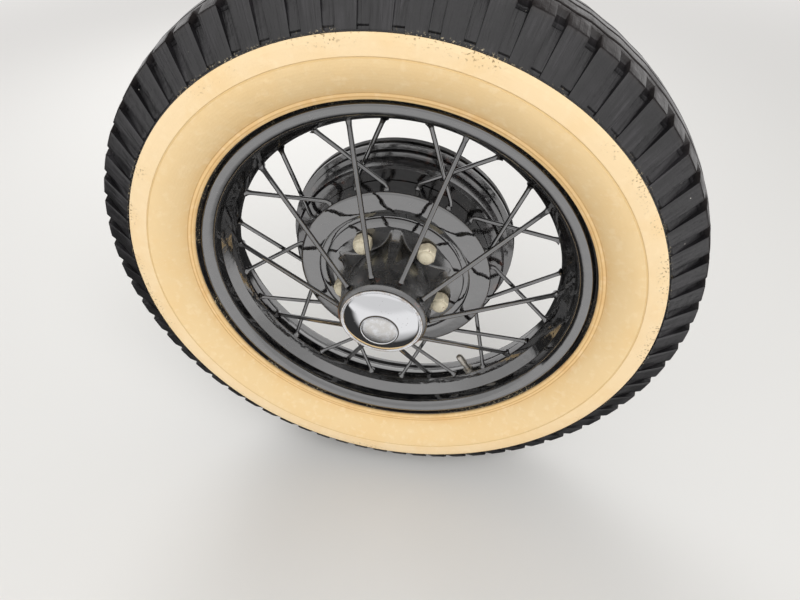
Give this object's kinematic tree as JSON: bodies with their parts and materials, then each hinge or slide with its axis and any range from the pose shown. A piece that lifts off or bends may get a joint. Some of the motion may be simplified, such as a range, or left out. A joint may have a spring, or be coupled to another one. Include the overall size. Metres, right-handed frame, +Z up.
{
  "type": "wire-spoked rear wheel with axle end",
  "caption": "Steel wire-spoked car wheel with cream sidewall tyre and chrome hub cap, turning on a brake drum, backing plate and axle tube end.",
  "frame": {"origin": "centre of the axle tube's cut inboard end, on the wheel's axis", "axes": "+X toward the car's tail, +Y inboard along the axle, +Z up; the outboard face of the wheel looks toward -Y"},
  "size_m": [0.76, 0.338, 0.76],
  "materials": {
    "tyre_rubber": "worn black rubber with shoulder blocks",
    "white_rubber": "white rubber yellowed to cream",
    "black_enamel": "gloss black stove enamel",
    "plated_valve": "dull nickel-plated brass",
    "bare_steel": "turned steel",
    "pale_enamel": "pale enamel on pressed nuts",
    "chrome_plate": "polished chrome plate",
    "drum_enamel": "semi-gloss black over cast iron",
    "chassis_enamel": "satin black chassis paint"
  },
  "bodies": {
    "axle_end": {"axle_housing": "chassis_enamel", "backing_plate": "chassis_enamel", "plate_bolts": "bare_steel", "camshaft_bush": "chassis_enamel", "brake_camshaft": "bare_steel", "brake_lever": "chassis_enamel", "brake_adjuster": "chassis_enamel"},
    "wheel": {"tyre": "tyre_rubber", "whitewall": "white_rubber", "rim": "black_enamel", "hub_shell": "black_enamel", "spokes_front": "black_enamel", "spokes_rear_leading": "black_enamel", "spokes_rear_trailing": "black_enamel", "valve": "plated_valve", "lug_studs": "bare_steel", "lug_nuts": "pale_enamel", "hub_cap": "chrome_plate", "cap_medallion": "chrome_plate", "brake_drum": "drum_enamel", "wheel_hub": "drum_enamel", "axle_shaft": "bare_steel", "axle_nut": "bare_steel", "axle_washer": "bare_steel"}
  },
  "joints": [
    {"name": "wheel_spin", "type": "hinge", "parent": "axle_end", "child": "wheel", "pos_m": [0, 0, 0], "axis": [0, 1, 0], "continuous": true}
  ]
}
